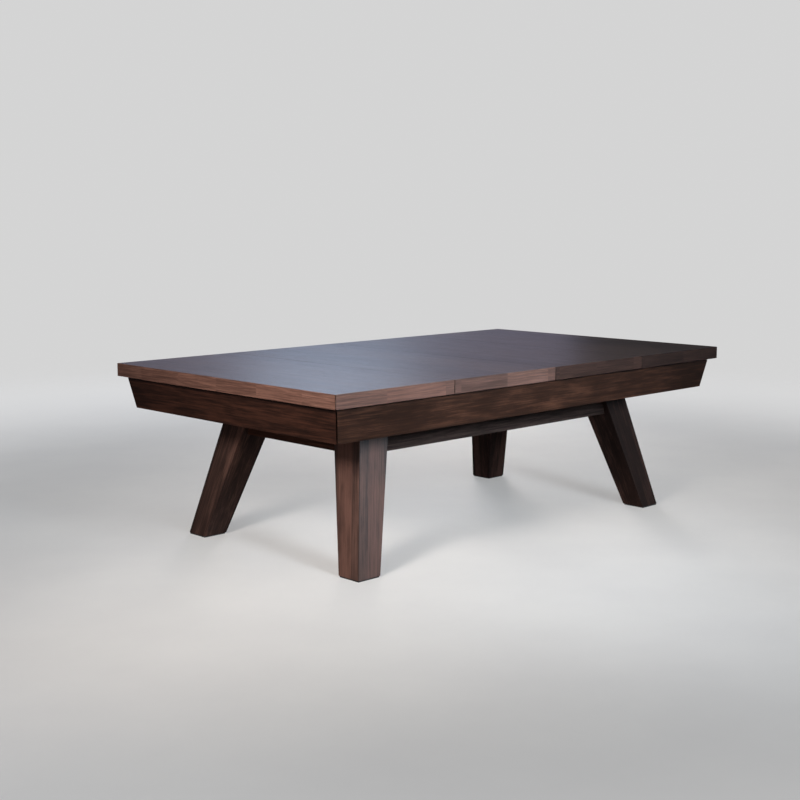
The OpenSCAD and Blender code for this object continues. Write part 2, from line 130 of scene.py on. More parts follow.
class Shop:
    """Builds one material's nodes."""

    def __init__(self, name):
        self.material = bpy.data.materials.new(name)
        self.material.use_nodes = True
        self.tree = self.material.node_tree
        self.tree.nodes.clear()
        self.place = None

    def add(self, kind, settings, values, out=0):
        """A node of that kind, set up, with values or links on its sockets; gives its output."""
        node = self.tree.nodes.new(kind)
        for key, value in settings.items():
            setattr(node, key, value)
        for key, value in values.items():
            self.link(node, key, value)
        return Val(self, node.outputs[out])

    def link(self, node, key, value):
        if isinstance(value, Val):
            self.tree.links.new(value.socket, node.inputs[key])
        else:
            node.inputs[key].default_value = value

    def ramp(self, value, *stops):
        """A colour ramp on value: stops are (position, colour)."""
        node = self.tree.nodes.new("ShaderNodeValToRGB")
        marks = node.color_ramp.elements
        while len(marks) < len(stops):
            marks.new(1.0)
        for mark, (position, colour) in zip(marks, stops):
            mark.position, mark.color = position, (*colour, 1.0)
        self.link(node, 0, value)
        return Val(self, node.outputs[0])

    def xyz(self):
        """The place on the object, in metres, as three values."""
        if self.place is None:
            where = self.add("ShaderNodeTexCoord", {}, {}, "Object")
            node = self.tree.nodes.new("ShaderNodeSeparateXYZ")
            self.tree.links.new(where.socket, node.inputs[0])
            self.place = [Val(self, o) for o in node.outputs]
        return self.place

    def point(self, x, y, z):
        return self.add("ShaderNodeCombineXYZ", {}, {0: x, 1: y, 2: z})

    def noise(self, point, scale=1.0, detail=2.0, rough=0.5):
        values = {"Vector": point, "Scale": scale, "Detail": detail, "Roughness": rough}
        return self.add("ShaderNodeTexNoise", {}, values)

    def chance(self, value):
        """A fixed random number for each whole value."""
        return self.add("ShaderNodeTexWhiteNoise", {"noise_dimensions": "1D"}, {"W": value})

    def blend(self, amount, low, high, kind="MIX"):
        settings = {"data_type": "RGBA", "blend_type": kind}
        low, high = [(*c, 1.0) if isinstance(c, tuple) else c for c in (low, high)]
        return self.add("ShaderNodeMix", settings, {0: amount, 6: low, 7: high}, 2)

    def bump(self, height, depth, under=None):
        values = {"Height": height, "Strength": 1.0, "Distance": depth}
        if under is not None:
            values["Normal"] = under
        return self.add("ShaderNodeBump", {}, values)

    def surface(self, **values):
        """The finished surface, with socket names written with _ for spaces."""
        node = self.tree.nodes.new("ShaderNodeBsdfPrincipled")
        for key, value in values.items():
            value = (*value, 1.0) if isinstance(value, tuple) and len(value) == 3 else value
            self.link(node, key.replace("_", " "), value)
        out = self.tree.nodes.new("ShaderNodeOutputMaterial")
        self.tree.links.new(node.outputs[0], out.inputs["Surface"])
        return self.material


# --------------------------------------------------------------------------------------
# wood

# how close each kind of mark lies in the wood: so many a metre across the board, and along it
RINGS, CLOUDS = (9.0, 0.6), (11.0, 4.0)
STREAKS, FIBRES, PORES = (105.0, 3.6), (260.0, 7.0), (700.0, 26.0)
RING_LINES = 11.0
PORE_DEPTH = 0.14 * MM
CABINET_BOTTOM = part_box("cabinet_front")[0][2]


def shaded(colour, amount):
    return tuple(c * amount for c in colour)


def wood(
    name, along, across, dark, light, board=0.3, tone=0.1, cuts=None, lean=None, seed=0.0, gloss=0.36,
    coat=0.1, rings=0.15, mottle=0.5, red=(1.0, 1.0, 1.0), pores=0.4, shine=0.5, figure=0.42,
):
    """Stained boards glued side by side: along and across are axes 0, 1 or 2.

    board is a board's width, tone how far boards differ, cuts the usual length of a
    board before the next one butts on, and lean the sideways slope of the grain in
    x and y for each metre down from the cabinet. A leaning piece shows boards on all sides.
    rings, figure, mottle and pores say how strongly each kind of mark shows, red is the
    tint that some boards lean to, and gloss, coat and shine are the lacquer's.
    """
    shop = Shop(name)
    place = list(shop.xyz())
    if lean:
        drop = CABINET_BOTTOM - place[2]
        place[0] = place[0] - drop * lean[0]
        place[1] = place[1] - drop * lean[1]
    run, side = place[along], place[across]
    deep = place[3 - along - across]
    if lean:
        side, deep = side + deep * 1.07, side - deep
    strip = (side / board + seed).floor()
    if cuts:
        strip = strip * 7.0 + (run / cuts + seed * 1.7 + (run * 2.3).sin() * 0.22).floor()
    pick = shop.chance(strip + seed * 3.1)
    pick_2 = shop.chance(strip + seed * 5.3 + 0.37)
    shift = pick * 31.0

    def marks(pitch, side_shift, run_shift, deep_shift, detail, rough):
        """Noise drawn out along the grain, moved on for each board where a shift is given."""
        place = [side * pitch[0], run * pitch[1], deep * pitch[0]]
        for i, moved in enumerate((side_shift, run_shift, deep_shift)):
            if moved is not None:
                place[i] = place[i] + moved
        return shop.noise(shop.point(*place), 1.0, detail, rough)

    ring = marks(RINGS, shift, shift * 1.7, seed, 2.0, 0.45)
    ringed = ((ring * RING_LINES).fract() * 2.0 - 1.0).size()
    fibre = marks(FIBRES, shift, shift, None, 3.0, 0.6)
    streak = marks(STREAKS, shift, None, None, 4.0, 0.62)
    cloud = marks(CLOUDS, None, shift, None, 5.0, 0.68)
    hole = marks(PORES, None, shift, None, 1.0, 0.5).ramp(0.60, 0.70)
    body = ringed * rings + streak.ramp(0.28, 0.74) * figure + fibre.ramp(0.25, 0.8) * (0.72 - figure)
    body = body + (cloud - 0.5) * mottle + (pick - 0.5) * tone * 1.3
    stain = shop.ramp(
        body,
        (0.05, shaded(dark, 0.6)),
        (0.30, dark),
        (0.68, light),
        (1.0, tuple(min(1.0, c * 1.2) for c in light)),
    )
    stain = shop.blend(pick_2.ramp(0.2, 1.0) * tone, stain, red, "MULTIPLY")
    stain = shop.blend(hole * pores * 0.6, stain, shaded(dark, 0.35))
    dull = gloss + (fibre - 0.5) * 0.14 + (cloud - 0.5) * 0.12 + hole * 0.1
    relief = fibre * 0.5 + streak * 0.5 - hole * 0.8 * pores
    return shop.surface(
        Base_Color=stain,
        Roughness=dull,
        Normal=shop.bump(relief, PORE_DEPTH),
        Coat_Weight=coat,
        Coat_Roughness=0.16,
        Specular_IOR_Level=shine,
    )


BAND_DARK, BAND_LIGHT = (0.084, 0.044, 0.034), (0.170, 0.091, 0.070)
TOP_DARK, TOP_LIGHT = (0.034, 0.023, 0.020), (0.080, 0.052, 0.042)
LEG_DARK, LEG_LIGHT = (0.030, 0.0165, 0.0135), (0.098, 0.053, 0.042)
WALNUT_DARK, WALNUT_LIGHT = (0.034, 0.013, 0.0075), (0.125, 0.052, 0.031)
PLAIN_DARK, PLAIN_LIGHT = (0.30, 0.19, 0.10), (0.52, 0.37, 0.22)


def band_wood(name, along, shade, seed, tone=0.20, shine=0.5):
    """The cover's edge: mid brown, butted from boards that differ a little in tone."""
    return wood(
        name, along, 1 - along, shaded(BAND_DARK, shade), shaded(BAND_LIGHT, shade), board=0.4,
        tone=tone, cuts=0.31, seed=seed, gloss=0.38, coat=0.1, rings=0.05, mottle=0.35,
        red=(1.0, 0.80, 0.72), pores=0.4, shine=shine, figure=0.24,
    )


# the four panels, from the left end: how light each one's wood is, and its lacquer's shine. Panels 3 and
# 4 are darker boards, and the fall in lightness from panel to panel is also painted shade for the lamps'
# falloff along the table
BAND_SHADE = (1.0, 0.88, 0.36, 0.27)
BAND_SHINE = (0.5, 0.5, 0.22, 0.22)
TOP_SHADE = (1.0, 0.95, 0.85, 0.8)
wood_tops = [
    wood(
        f"cover_top_wood_{k}", 1, 0, shaded(TOP_DARK, shade), shaded(TOP_LIGHT, shade), board=0.109,
        tone=0.16, seed=2.0 + k, gloss=0.36, coat=0.0, rings=0.12, mottle=0.3, figure=0.30,
    )
    for k, shade in enumerate(TOP_SHADE, 1)
]
wood_bands = [
    band_wood(f"cover_band_wood_{k}", 0, shade, 4.0 + k, shine=shine)
    for k, (shade, shine) in enumerate(zip(BAND_SHADE, BAND_SHINE), 1)
]
wood_band_ends = [
    band_wood(f"cover_band_wood_end_{k}", 1, shade, 9.0 + k, tone=0.10, shine=0.30)
    for k, shade in ((1, 1.0), (4, 0.8))
]
wood_cab_x = wood(
    "cabinet_wood_long", 0, 2, (0.030, 0.0130, 0.0075), (0.092, 0.040, 0.0235),
    seed=6.0, gloss=0.45, coat=0.02, rings=0.10, mottle=0.9, shine=0.3, figure=0.34,
)
# the end panels' wood is a darker copy of the long sides': painted shade on the table's ends
wood_cab_end_shaded = wood(
    "cabinet_wood_end_painted_shade", 1, 2, (0.012, 0.0044, 0.0026), (0.036, 0.0135, 0.0080),
    seed=7.0, gloss=0.45, coat=0.02, rings=0.10, mottle=0.9, shine=0.3, figure=0.34,
)
wood_base_x = wood(
    "base_wood_long", 0, 2, (0.022, 0.015, 0.013), (0.058, 0.041, 0.036),
    seed=8.0, gloss=0.55, coat=0.0, rings=0.1, shine=0.12,
)
wood_base_y = wood(
    "base_wood_end", 1, 2, (0.024, 0.0100, 0.0065), (0.060, 0.026, 0.017),
    seed=9.0, gloss=0.55, coat=0.0, rings=0.1, shine=0.12,
)
wood_rail_x = wood(
    "rail_wood_long", 0, 1, WALNUT_DARK, WALNUT_LIGHT,
    board=0.4, seed=10.0, gloss=0.3, coat=0.35, rings=0.3,
)
wood_rail_y = wood(
    "rail_wood_end", 1, 0, WALNUT_DARK, WALNUT_LIGHT,
    board=0.4, seed=11.0, gloss=0.3, coat=0.35, rings=0.3,
)
# nearly black: painted shade, so the open cabinet mitres in front of the corner blocks read as dark gaps
block_painted_shade = wood(
    "corner_block_painted_shade", 2, 0, (0.006, 0.004, 0.003), (0.012, 0.008, 0.006),
    seed=15.0, gloss=0.7, coat=0.0,
)
# nearly black: end grain's darker stain, and painted shade standing in for the shadow in the seam and
# mitre gaps
sawn_end_and_seam_shade = wood(
    "cover_sawn_end_and_seam_shade", 2, 0, (0.007, 0.004, 0.003), (0.016, 0.010, 0.008),
    seed=16.0, gloss=0.6, coat=0.0, shine=0.2,
)
plain_x = wood(
    "plain_wood_long", 0, 1, PLAIN_DARK, PLAIN_LIGHT,
    board=0.4, tone=0.2, seed=12.0, gloss=0.6, coat=0.0, rings=0.3,
)
plain_y = wood(
    "plain_wood_cross", 1, 0, PLAIN_DARK, PLAIN_LIGHT,
    board=0.4, tone=0.2, seed=13.0, gloss=0.6, coat=0.0, rings=0.3,
)


# --------------------------------------------------------------------------------------
# other finishes

TWILL_LINES = 900.0


def cloth_finish(name, thread, shade, sheen=0.05):
    """Napped wool billiard cloth: a fine twill with a soft nap over it."""
    shop = Shop(name)
    x, y, z = shop.xyz()
    twill = ((x + y + z) * TWILL_LINES * TAU).sin() * 0.5 + 0.5
    nap = shop.noise(shop.point(x * 420.0, y * 420.0, z * 420.0), 1.0, 3.0, 0.6)
    drift = shop.noise(shop.point(x * 2.0, y * 5.0, z), 1.0, 3.0, 0.5)
    body = twill * 0.25 + nap.ramp(0.25, 0.75) * 0.5 + drift.ramp(0.3, 0.7) * 0.25
    return shop.surface(
        Base_Color=shop.ramp(body, (0.1, shade), (0.9, thread)),
        Roughness=0.86 + (nap - 0.5) * 0.2,
        Normal=shop.bump(twill * 0.4 + nap, 0.0002),
        Sheen_Weight=sheen,
        Sheen_Roughness=0.45,
        Specular_IOR_Level=0.10,
    )


def leather_finish(name):
    shop = Shop(name)
    x, y, z = shop.xyz()
    where = shop.point(x, y, z)
    pebble = shop.add(
        "ShaderNodeTexVoronoi", {"feature": "DISTANCE_TO_EDGE"}, {"Vector": where, "Scale": 420.0}
    )
    wear = shop.noise(where, 18.0, 4.0, 0.6)
    crease = pebble.ramp(0.0, 0.12)
    colour = shop.ramp(wear, (0.3, (0.020, 0.011, 0.007)), (0.75, (0.075, 0.040, 0.024)))
    return shop.surface(
        Base_Color=shop.blend(1 - crease, colour, (0.008, 0.005, 0.004)),
        Roughness=0.42 + (wear - 0.5) * 0.25,
        Normal=shop.bump(crease, 0.0003),
        Coat_Weight=0.1,
    )


def slate_finish(name):
    shop = Shop(name)
    x, y, z = shop.xyz()
    layer = shop.noise(shop.point(x * 3.0, y * 3.0, z * 240.0), 1.0, 4.0, 0.6)
    grit = shop.noise(shop.point(x * 500.0, y * 500.0, z * 500.0), 1.0, 2.0)
    colour = shop.ramp(layer, (0.25, (0.045, 0.052, 0.06)), (0.8, (0.115, 0.125, 0.135)))
    return shop.surface(
        Base_Color=shop.blend(grit.ramp(0.6, 0.75) * 0.4, colour, (0.2, 0.21, 0.22)),
        Roughness=0.62 + (grit - 0.5) * 0.2,
        Normal=shop.bump(grit * 0.5 + layer, 0.0003),
    )


def plate_finish(name, colour, rough):
    """Zinc plated steel with fine tool marks."""
    shop = Shop(name)
    x, y, z = shop.xyz()
    cloud = shop.noise(shop.point(x * 60.0, y * 60.0, z * 60.0), 1.0, 3.0, 0.6)
    marks = shop.noise(shop.point(x * 300.0, y * 300.0, z * 2400.0), 1.0, 2.0)
    return shop.surface(
        Base_Color=shop.blend(cloud.ramp(0.35, 0.7), shaded(colour, 0.72), colour),
        Metallic=1.0,
        Roughness=rough + (marks - 0.5) * 0.2,
        Normal=shop.bump(marks, 0.00008),
    )


def moulded_finish(name, colour, rough, depth=0.0002, scale=900.0):
    """Moulded rubber or plastic with a fine texture."""
    shop = Shop(name)
    x, y, z = shop.xyz()
    grain = shop.noise(shop.point(x * scale, y * scale, z * scale), 1.0, 2.0)
    dust = shop.noise(shop.point(x * 25.0, y * 25.0, z * 25.0), 1.0, 4.0, 0.6)
    pale = tuple(c * 1.5 + 0.01 for c in colour)
    return shop.surface(
        Base_Color=shop.blend(dust.ramp(0.4, 0.75) * 0.6, colour, pale),
        Roughness=rough + (grain - 0.5) * 0.15,
        Normal=shop.bump(grain, depth),
    )


cloth = cloth_finish("bed_cloth_green", (0.030, 0.185, 0.085), (0.012, 0.085, 0.040))
felt = cloth_finish("pad_felt_black", (0.035, 0.034, 0.036), (0.010, 0.010, 0.011))
leather = leather_finish("pocket_leather_dark")
slate_stone = slate_finish("bed_slate")
zinc = plate_finish("bolt_zinc", (0.60, 0.60, 0.62), 0.34)
pearl = moulded_finish("sight_pearl", (0.74, 0.71, 0.62), 0.2, 0.00003, 300.0)
rubber = moulded_finish("foot_rubber_black", (0.012, 0.012, 0.012), 0.6)
thread = moulded_finish("pocket_thread", (0.30, 0.22, 0.13), 0.7, 0.0002, 1500.0)


# the legs, from the near left one round: how light the wood is, its shine and its roughness. The
# lightness is painted light and shade, not the wood's own: lighter on the two legs at the left end,
# darker on the two at the right end, further from the lamps
LEG_PAINTED_SHADE_SHINE_ROUGHNESS = ((0.88, 0.50, 0.40), (0.60, 0.15, 0.56), (0.55, 0.15, 0.56), (0.95, 0.25, 0.50))
LEG_SIDES = ((-1, -1), (1, -1), (1, 1), (-1, 1))
LEG_BOARD = 47 * MM
SPLAY = 138 * MM
LEAN = SPLAY / CABINET_BOTTOM


def leg_finish(name, sx, sy, shade, shine, gloss):
    """A leg glued up from upright boards, its grain following the leg's lean."""
    # shade scales the stain: painted light and shade for where the leg stands
    return wood(
        name, 2, 0, shaded(LEG_DARK, shade), shaded(LEG_LIGHT, shade), board=LEG_BOARD, tone=0.42,
        lean=(sx * LEAN, sy * LEAN), seed=14.0 + sx + 0.5 * sy, gloss=gloss, coat=0.03, rings=0.08,
        mottle=0.95, red=(1.0, 0.82, 0.76), shine=shine, figure=0.34,
    )


# --------------------------------------------------------------------------------------
# shapes


def piece(name, body, material, verts, faces, replaces=(), smooth=False):
    """A new object on a body, standing in for the nodes it replaces."""
    mesh = bpy.data.meshes.new(name)
    mesh.from_pydata(verts, [], faces)
    bm = bmesh.new()
    bm.from_mesh(mesh)
    bmesh.ops.remove_doubles(bm, verts=bm.verts, dist=1e-6)
    bmesh.ops.recalc_face_normals(bm, faces=bm.faces)
    bm.to_mesh(mesh)
    bm.free()
    for polygon in mesh.polygons:
        polygon.use_smooth = smooth
    obj = bpy.data.objects.new(name, mesh)
    bpy.context.scene.collection.objects.link(obj)
    mesh.materials.append(material)
    if replaces:
        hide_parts(*replaces)
    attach(obj, body)
    return obj


def ease(obj, width, segments, angle=32.0):
    """Takes the sharpness off an object's edges, without touching its own vertices."""
    weld = obj.modifiers.new("weld", "WELD")
    weld.merge_threshold = 1e-5
    bevel = obj.modifiers.new("eased", "BEVEL")
    bevel.width = width
    bevel.segments = segments
    bevel.limit_method = "ANGLE"
    bevel.angle_limit = math.radians(angle)


def arc(cx, cy, r, a0, a1, steps):
    """Points on an arc, in degrees."""
    return [
        (cx + r * math.cos(math.radians(a)), cy + r * math.sin(math.radians(a)))
        for a in [a0 + (a1 - a0) * i / steps for i in range(steps + 1)]
    ]


# --------------------------------------------------------------------------------------
# cover: boards, edge strips, felt pads

HALF_L, HALF_W, TOP = cad_box[1]
skirt_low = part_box("cover_edge_1")[0][2]
board_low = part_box("cover_panel_1")[0][2]
STRIP = 18 * MM
LAND = 2 * MM
ARRIS = 1.6 * MM
SEAM_EASE = 1.1 * MM
MITRE_GAP = 1.1 * MM
MITRE_EASE = 0.5 * MM


def strip_outline():
    """Edge strip's section: depth in from its outer face, and height."""
    top = arc(ARRIS, TOP - ARRIS, ARRIS, 180, 90, 4)
    foot = arc(ARRIS * 0.7, skirt_low + ARRIS * 0.7, ARRIS * 0.7, 270, 180, 3)
    return foot + top + [(LAND, TOP), (LAND, board_low), (STRIP, board_low), (STRIP, skirt_low)]


def strip_faces(start, stop, mitre_start, mitre_stop, flip):
    """A strip from start to stop, each end mitred or eased square at a seam."""
    outline = strip_outline()

    def end(at, inward, mitred, step):
        def place(d):
            if mitred:
                outer = MITRE_EASE * (1 - step) if d < 1e-6 else 0
                return at + inward * (d + MITRE_GAP + outer)
            return at + inward * SEAM_EASE * step

        return place

    verts, faces = [], []
    count = len(outline)
    middle_z = (TOP + skirt_low) / 2

    def shrink(point, amount):
        d, z = point
        return d + amount * (1 if d < STRIP / 2 else -1), z + amount * (1 if z < middle_z else -1)

    rows = []
    for at, inward, mitred, order in ((start, 1, mitre_start, (0, 1)), (stop, -1, mitre_stop, (1, 0))):
        for step in order:
            small = SEAM_EASE * 0.7 if step == 0 and not mitred else 0.0
            place = end(at, inward, mitred, step)
            rows.append([(place(d), *shrink((d, z), small)) for d, z in outline])
    for row in rows:
        verts += [flip(run, d, z) for run, d, z in row]
    faces.append(list(range(count))[::-1])
    for step in range(len(rows) - 1):
        a, b = step * count, (step + 1) * count
        for i in range(count):
            j = (i + 1) % count
            faces.append([a + i, a + j, b + j, b + i])
    faces.append(list(range((len(rows) - 1) * count, len(rows) * count)))
    return verts, faces


def side_flip(sy):
    return lambda run, d, z: (run, sy * (HALF_W - d), z)


def end_flip(sx):
    return lambda run, d, z: (sx * (HALF_L - d), run, z)


def paint_sawn_ends_and_seam_shade(strip, run_axis):
    """Sawn ends take the stain darker, and are painted nearly black as shade in the gaps: at the seams
    and in the mitres.
    """
    strip.data.materials.append(sawn_end_and_seam_shade)
    for polygon in strip.data.polygons:
        if abs(polygon.normal[run_axis]) > 0.5:
            polygon.material_index = 1


for k in (1, 2, 3, 4):
    low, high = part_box(f"cover_panel_{k}")
    x0, x1 = low[0], high[0]
    body = f"cover_{k}"
    first, last = k == 1, k == 4

    # the board's section along the table, with its seam edges eased
    left = [(x0 + LAND, board_low), (x0 + LAND, TOP)] if first else [
        (x0, board_low), *arc(x0 + SEAM_EASE, TOP - SEAM_EASE, SEAM_EASE, 180, 90, 3)]
    right = [(x1 - LAND, TOP), (x1 - LAND, board_low)] if last else [
        *arc(x1 - SEAM_EASE, TOP - SEAM_EASE, SEAM_EASE, 90, 0, 3), (x1, board_low)]
    outline = left + right
    y1 = HALF_W - LAND
    verts = [(x, y, z) for y in (-y1, y1) for x, z in outline]
    n = len(outline)
    faces = [list(range(n)), list(range(n, 2 * n))[::-1]]
    faces += [[i, (i + 1) % n, n + (i + 1) % n, n + i] for i in range(n)]
    piece(f"cover_board_{k}", body, wood_tops[k - 1], verts, faces, [f"cover_panel_{k}"])

    strips = [
        (f"cover_strip_front_{k}", x0, x1, first, last, side_flip(-1), wood_bands[k - 1]),
        (f"cover_strip_back_{k}", x0, x1, first, last, side_flip(1), wood_bands[k - 1]),
    ]
    if first or last:
        side = -1 if first else 1
        wood_end = wood_band_ends[k // 4]
        strips.append(
            (f"cover_strip_end_{k}", -HALF_W, HALF_W, True, True, end_flip(side), wood_end)
        )
    for i, (name, start, stop, m0, m1, flip, material) in enumerate(strips):
        verts, faces = strip_faces(start, stop, m0, m1, flip)
        stands = [f"cover_edge_{k}"] if i == 0 else []
        strip = piece(name, body, material, verts, faces, stands)
        paint_sawn_ends_and_seam_shade(strip, 1 if "end" in name else 0)


PAD_W = 30 * MM
PAD_BACK = 11 * MM
PAD_END_GAP = 50 * MM
FELT_CELL = 20 * MM
FELT_UNEVEN = 0.06 * MM


def felt_strip(name, body, stands, x0, x1, y0, y1, z0, z1):
    """A felt pad with soft, rounded edges and a slightly uneven face."""
    span, width = max(x1 - x0, y1 - y0), min(x1 - x0, y1 - y0)
    along, across = max(6, int(span / FELT_CELL)), 8
    row = across + 1
    half = (along + 1) * row

    def spot(i, j, upper):
        u, v = i / along, j / across
        if x1 - x0 > y1 - y0:
            x, y = x0 + u * (x1 - x0), y0 + v * (y1 - y0)
        else:
            x, y = x0 + v * (x1 - x0), y0 + u * (y1 - y0)
        if upper:
            return x, y, z1
        near = min(min(u, 1 - u) * span, min(v, 1 - v) * width)
        edge = min(1.0, near / (width * 0.12))
        drop = (1 - math.sqrt(max(0.0, 1 - (1 - edge) ** 2))) * (z1 - z0) * 0.45
        drop += (random.random() - 0.5) * FELT_UNEVEN
        return x, y, z0 + max(0.0, drop)

    verts = [spot(i, j, upper) for upper in (True, False) for i in range(along + 1) for j in range(row)]
    faces = []
    for first in (0, half):
        for i in range(along):
            for j in range(across):
                a = first + i * row + j
                faces.append([a, a + row, a + row + 1, a + 1])
    rim = [i * row for i in range(along)]
    rim += [along * row + j for j in range(across)]
    rim += [i * row + across for i in range(along, 0, -1)]
    rim += list(range(across, 0, -1))
    faces += [[a, b, b + half, a + half] for a, b in zip(rim, rim[1:] + rim[:1])]
    obj = piece(name, body, felt, verts, faces, stands, smooth=True)


for k in (1, 2, 3, 4):
    low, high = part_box(f"cover_pads_{k}")
    x0, x1, y1, z0, z1 = low[0], high[0], high[1], low[2], high[2]
    if k == 1:
        x0 += PAD_BACK
    if k == 4:
        x1 -= PAD_BACK
    felt_strip(f"felt_front_{k}", f"cover_{k}", [f"cover_pads_{k}"], x0, x1, -y1, -y1 + PAD_W, z0, z1)
    felt_strip(f"felt_back_{k}", f"cover_{k}", [], x0, x1, y1 - PAD_W, y1, z0, z1)
    if k in (1, 4):
        edge = low[0] if k == 1 else high[0]
        xa, xb = (edge, edge + PAD_W) if k == 1 else (edge - PAD_W, edge)
        ya, yb = -y1 + PAD_END_GAP, y1 - PAD_END_GAP
        felt_strip(f"felt_end_{k}", f"cover_{k}", [], xa, xb, ya, yb, z0, z1)


# --------------------------------------------------------------------------------------
# playing surface: bed cloth, cushions, leather pockets

PLAY_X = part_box("cushion_3")[0][0]
PLAY_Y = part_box("cushion_4")[0][1]
CUSHION_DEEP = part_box("cushion_4")[1][1] - PLAY_Y
CORNER_MOUTH, SIDE_MOUTH = 124 * MM, 133 * MM
CORNER_CUT = CORNER_MOUTH / math.sqrt(2)
NOSE_LOW, NOSE_HIGH, NOSE_R = 28.5 * MM, 32.5 * MM, 2.2 * MM
CORNER_FACE, SIDE_FACE = math.radians(38), math.radians(76)
CORNER_OUT, SIDE_OUT = 27 * MM, 58 * MM
HOLE_R, CUP_R, LIP_R, CUP_WALL = 57.5 * MM, 57 * MM, 63 * MM, 4 * MM
POCKETS = [
    (-PLAY_X - CORNER_OUT, -PLAY_Y - CORNER_OUT, 45), (0.0, -PLAY_Y - SIDE_OUT, 90),
    (PLAY_X + CORNER_OUT, -PLAY_Y - CORNER_OUT, 135), (PLAY_X + CORNER_OUT, PLAY_Y + CORNER_OUT, 225),
    (0.0, PLAY_Y + SIDE_OUT, 270), (-PLAY_X - CORNER_OUT, PLAY_Y + CORNER_OUT, 315),
]


def soften(obj, angle=40.0):
    """Smooth shading that keeps the edges sharper than the angle."""
    for polygon in obj.data.polygons:
        polygon.use_smooth = True
    obj.data.set_sharp_from_angle(angle=math.radians(angle))


def make_bed_cloth():
    """One cloth stretched over the three slates, cut round the pockets and turned down there."""
    low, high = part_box("bed_cloth")
    x1, y1, top, bottom = high[0], high[1], high[2], low[2]
    rings = (
        (HOLE_R, 0.6 * MM), (HOLE_R + 2 * MM, 0.0), (HOLE_R + 8 * MM, 0.0), (HOLE_R + 20 * MM, 0.0),
    )
    around = 48
    points, edges = [], []
    nx, ny = 42, 24
    for i in range(nx + 1):
        for j in range(ny + 1):
            x, y = -x1 + 2 * x1 * i / nx, -y1 + 2 * y1 * j / ny
            if all(math.hypot(x - px, y - py) > rings[-1][0] + 8 * MM for px, py, _ in POCKETS):
                points.append((x, y, 0.0))
            elif abs(x) > x1 - 1e-6 or abs(y) > y1 - 1e-6:
                points.append((x, y, 0.0))
    for px, py, _ in POCKETS:
        for r, drop in rings:
            first = len(points)
            ring = []
            for i in range(around):
                a = TAU * i / around
                x, y = px + r * math.cos(a), py + r * math.sin(a)
                if abs(x) < x1 - 1 * MM and abs(y) < y1 - 1 * MM:
                    near = 0 < r - HOLE_R < 15 * MM
                    pull = 0.22 * MM * (0.5 + 0.5 * math.cos(12 * a)) if near else 0.0
                    ring.append((x, y, drop + pull))
            points += ring
            if r == HOLE_R:
                edges += [(first + i, first + (i + 1) % around) for i in range(around)]
    flat, _, tris, *_ = geometry.delaunay_2d_cdt([Vector(p[:2]) for p in points], edges, [], 0, 1e-6)
    kept = []
    for tri in tris:
        cx, cy = sum(flat[i][0] for i in tri) / 3, sum(flat[i][1] for i in tri) / 3
        if all(math.hypot(cx - px, cy - py) > HOLE_R - 1e-5 for px, py, _ in POCKETS):
            kept.append(list(tri))
    count = len(flat)
    verts = [(p[0], p[1], top - points[i][2]) for i, p in enumerate(flat)]
    verts += [(p[0], p[1], bottom) for p in flat]
    seen = {}
    for tri in kept:
        for i in range(3):
            a, b = tri[i], tri[(i + 1) % 3]
            seen.setdefault((min(a, b), max(a, b)), []).append((a, b))
    rim = [pairs[0] for pairs in seen.values() if len(pairs) == 1]
    faces = kept + [[i + count for i in tri[::-1]] for tri in kept]
    faces += [[b, a, a + count, b + count] for a, b in rim]
    obj = piece("bed_cloth_stretched", "table", cloth, verts, faces, ["bed_cloth"])
    soften(obj, 30.0)


def cushion_section():
    """Cloth covered rubber in section: depth out from the nose, and height."""
    low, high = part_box("cushion_4")
    foot, back_top = low[2], high[2]
    nose = arc(NOSE_R, foot + (NOSE_LOW + NOSE_HIGH) / 2, NOSE_R, 215, 105, 6)
    steps, swell = 10, 0.5 * MM
    nose_u, nose_z = nose[-1]
    belly = [
        (
            nose_u + (CUSHION_DEEP - nose_u) * i / steps,
            nose_z + (back_top - nose_z) * i / steps + swell * math.sin(math.pi * i / steps),
        )
        for i in range(1, steps)
    ]
    back_ease = 0.8 * MM
    back = [
        (CUSHION_DEEP - back_ease, back_top), (CUSHION_DEEP, back_top - back_ease), (CUSHION_DEEP, foot),
    ]
    heel_r = 2.5 * MM
    heel = arc(0.6 * CUSHION_DEEP, foot + heel_r, heel_r, 270, 228, 3)
    return nose + belly + back + heel


def clear_of_pocket(run, depth_y, pocket, toward):
    """The run, moved along if need be to stand clear of the pocket's hole at that depth."""
    px, py = pocket
    reach = HOLE_R**2 - (depth_y - py) ** 2
    if reach <= 0:
        return run
    edge = px + toward * math.sqrt(reach)
    return max(run, edge) if toward > 0 else min(run, edge)


def cushion(k, ends, flip):
    """A cushion lofted between two facings: ends gives where each stands at a depth."""
    section = cushion_section()
    count = len(section)
    mid_u = sum(u for u, _ in section) / count
    mid_z = sum(z for _, z in section) / count
    close = [(0.0, 0.07), (0.5 * MM, 0.025), (1.4 * MM, 0.006), (3.0 * MM, 0.0)]
    inside = 36
    verts, faces = [], []
    rows = [(0, step, shrink) for step, shrink in close]
    rows += [(i / inside, None, 0.0) for i in range(1, inside)]
    rows += [(1, step, shrink) for step, shrink in close[::-1]]
    for where, step, shrink in rows:
        for u, z in section:
            a, b = ends[0](u), ends[1](u)
            if step is None:
                run = a + (b - a) * where
            else:
                run = a + step if where == 0 else b - step
            verts.append(flip(run, u + (mid_u - u) * shrink, z + (mid_z - z) * shrink))
    faces.append(list(range(count))[::-1])
    for row in range(len(rows) - 1):
        a, b = row * count, (row + 1) * count
        faces += [[a + i, a + (i + 1) % count, b + (i + 1) % count, b + i] for i in range(count)]
    faces.append(list(range((len(rows) - 1) * count, len(rows) * count)))
    obj = piece(f"cushion_cloth_{k}", "table", cloth, verts, faces, [f"cushion_{k}"])
    soften(obj, 38.0)


